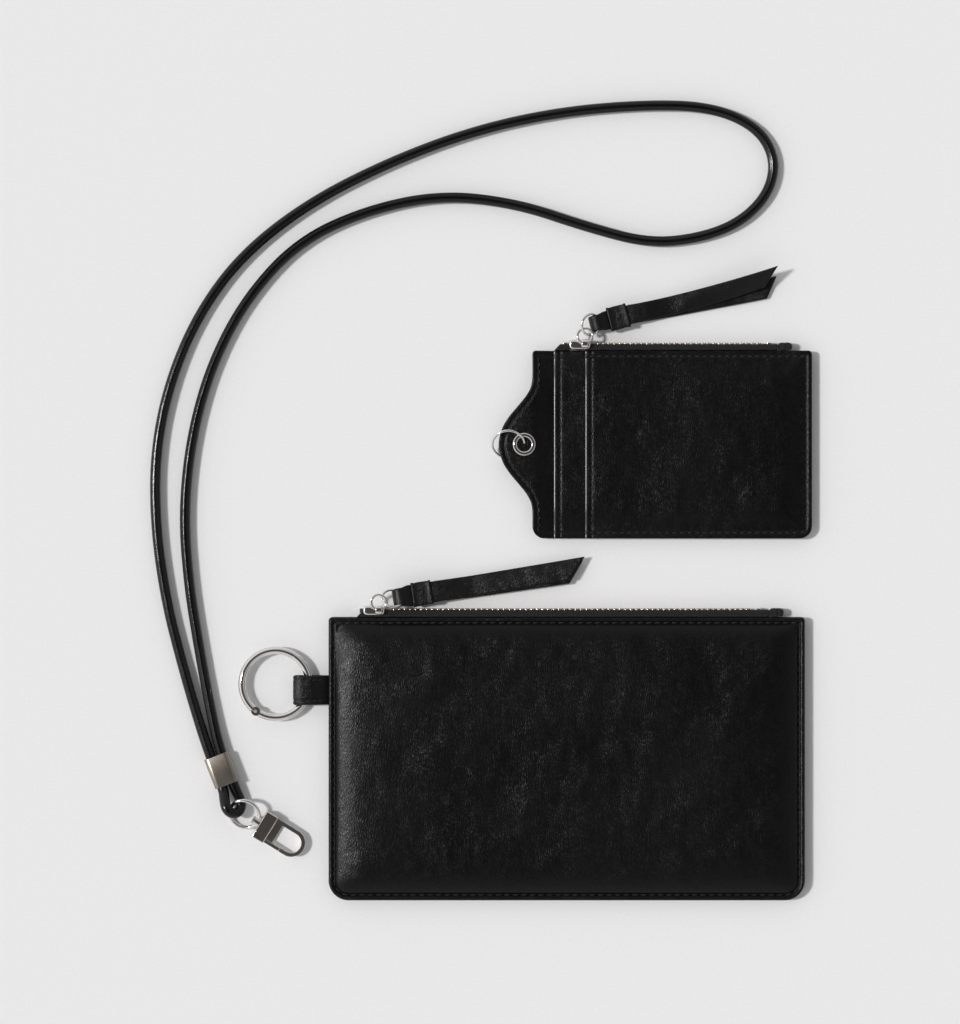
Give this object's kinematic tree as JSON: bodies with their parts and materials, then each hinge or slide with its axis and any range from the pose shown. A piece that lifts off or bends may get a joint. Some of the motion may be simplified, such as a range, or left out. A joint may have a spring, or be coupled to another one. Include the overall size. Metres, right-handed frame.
{
  "type": "neck pouch wallet",
  "caption": "Flat zip pouch with a key ring tab, a matching zip card case and a rolled-leather neck lanyard that ends in a swivel snap hook.",
  "frame": {"origin": "centre of the pouch's back face, which lies on the table", "axes": "+Z out of the pouch's front face, +X along the zip from the slider's closed end to its open end, +Y from the pouch towards the card case and the top of the neck loop"},
  "size_m": [0.2642, 0.3193, 0.009],
  "materials": {
    "leather": "fine pebble grain, semi-gloss, black",
    "lining": "matte woven polyester, black",
    "thread": "twisted bonded polyester, black",
    "zip_tape": "ribbed woven polyester tape, black",
    "cord": "smooth rolled leather over a round core, with one seam along it, black",
    "nickel": "polished nickel plate",
    "ferrule_nickel": "brushed warm nickel plate",
    "pin_steel": "drawn steel wire"
  },
  "bodies": {
    "pouch": {"pouch_back_panel": "leather", "pouch_front_panel": "leather", "pouch_back_lining": "lining", "pouch_front_lining": "lining", "pouch_seam_thread": "thread", "pouch_zip_tape_front": "zip_tape", "pouch_zip_tape_back": "zip_tape", "pouch_zip_teeth_front": "nickel", "pouch_zip_teeth_back": "nickel", "pouch_zip_top_stops": "nickel", "pouch_zip_bottom_stop": "nickel", "pouch_zip_end_tab": "zip_tape", "key_tab": "leather"},
    "pouch_slider": {"pouch_zip_slider": "nickel"},
    "pouch_loop": {"pouch_pull_loop": "nickel"},
    "pouch_ring": {"pouch_pull_ring": "nickel"},
    "pouch_strap": {"pouch_pull_strap": "leather", "pouch_pull_keeper": "leather", "pouch_pull_tack": "thread"},
    "key_ring": {"key_ring_fixed_half": "nickel", "key_ring_pin": "pin_steel"},
    "ring_gate": {"key_ring_opening_half": "nickel"},
    "card_case": {"case_back_panel": "leather", "case_base_panel": "leather", "case_pocket_one": "leather", "case_pocket_two": "leather", "case_lining": "lining", "case_seam_thread": "thread", "case_pocket_one_thread": "thread", "case_pocket_two_thread": "thread", "case_eyelet": "nickel", "case_eyelet_washer": "nickel", "case_zip_tape_front": "zip_tape", "case_zip_tape_back": "zip_tape", "case_zip_teeth_front": "nickel", "case_zip_teeth_back": "nickel", "case_zip_top_stops": "nickel", "case_zip_bottom_stop": "nickel", "case_zip_end_tab": "zip_tape"},
    "case_slider": {"case_zip_slider": "nickel"},
    "case_loop": {"case_pull_loop": "nickel"},
    "case_ring": {"case_pull_ring": "nickel"},
    "case_strap": {"case_pull_strap": "leather", "case_pull_keeper": "leather", "case_pull_tack": "thread"},
    "jump_ring": {"case_jump_ring": "nickel"},
    "lanyard": {"lanyard_cord": "cord", "lanyard_ferrule": "ferrule_nickel"},
    "swivel_eye": {"swivel_eye": "nickel"},
    "snap_hook": {"hook_body": "nickel", "swivel_rivet": "pin_steel", "hook_gate_pin": "pin_steel", "hook_gate_spring": "pin_steel"},
    "hook_gate": {"hook_gate": "nickel"}
  },
  "joints": [
    {"name": "pouch_zip", "type": "slide", "parent": "pouch", "child": "pouch_slider", "axis": [1, 0, 0], "range_m": [0, 0.1465]},
    {"name": "pouch_loop_lift", "type": "hinge", "parent": "pouch_slider", "child": "pouch_loop", "pos_m": [-0.0749, 0.0595, 0.0063], "axis": [1, 0, 0], "range_deg": [0, 50]},
    {"name": "pouch_ring_tilt", "type": "hinge", "parent": "pouch_loop", "child": "pouch_ring", "pos_m": [-0.0719, 0.06249, 0.00656], "axis": [0, -0.9962, -0.0872], "range_deg": [0, 20]},
    {"name": "pouch_strap_swing", "type": "hinge", "parent": "pouch_ring", "child": "pouch_strap", "pos_m": [-0.06551, 0.06463, 0.00424], "axis": [-0.1549, 0.9781, -0.1392], "range_deg": [-4, 4]},
    {"name": "key_ring_flip", "type": "hinge", "parent": "pouch", "child": "key_ring", "pos_m": [-0.10377, 0.02721, 0.00315], "axis": [0.2041, 0.9789, 0], "range_deg": [0, 150]},
    {"name": "ring_gate_open", "type": "hinge", "parent": "key_ring", "child": "ring_gate", "pos_m": [-0.12408, 0.01896, 0.00315], "axis": [0, 0, 1], "range_deg": [0, 45]},
    {"name": "card_case_lift", "type": "slide", "parent": "pouch", "child": "card_case", "axis": [0, 0, 1], "range_m": [0, 0.1]},
    {"name": "case_zip", "type": "slide", "parent": "card_case", "child": "case_slider", "axis": [1, 0, 0], "range_m": [0, 0.07]},
    {"name": "case_loop_lift", "type": "hinge", "parent": "case_slider", "child": "case_loop", "pos_m": [0.0072, 0.1655, 0.0063], "axis": [1, 0, 0], "range_deg": [0, 50]},
    {"name": "case_ring_tilt", "type": "hinge", "parent": "case_loop", "child": "case_ring", "pos_m": [0.0102, 0.16849, 0.00604], "axis": [0, -0.9962, 0.0872], "range_deg": [0, 6]},
    {"name": "case_strap_swing", "type": "hinge", "parent": "case_ring", "child": "case_strap", "pos_m": [0.01292, 0.17401, 0.0037], "axis": [-0.2504, 0.9681, 0], "range_deg": [-4, 4]},
    {"name": "jump_ring_flip", "type": "hinge", "parent": "card_case", "child": "jump_ring", "pos_m": [-0.0233, 0.1254, 0.0041], "axis": [1, 0, 0], "range_deg": [0, 110]},
    {"name": "lanyard_lift", "type": "slide", "parent": "pouch", "child": "lanyard", "axis": [0, 0, 1], "range_m": [0, 0.1]},
    {"name": "swivel_eye_swing", "type": "hinge", "parent": "lanyard", "child": "swivel_eye", "pos_m": [-0.13373, -0.01892, 0.00377], "axis": [-0.4964, -0.7586, -0.422], "range_deg": [0, 40]},
    {"name": "hook_swivel", "type": "hinge", "parent": "swivel_eye", "child": "snap_hook", "pos_m": [-0.1286, -0.0221, 0.00345], "axis": [0.8487, -0.5262, -0.0523], "continuous": true},
    {"name": "hook_gate_press", "type": "hinge", "parent": "snap_hook", "child": "hook_gate", "pos_m": [-0.12296, -0.03101, 0.00295], "axis": [0.0445, -0.0276, 0.9986], "range_deg": [0, 22], "stiffness_Nm_per_rad": 0.002, "springref_deg": -11.46}
  ]
}
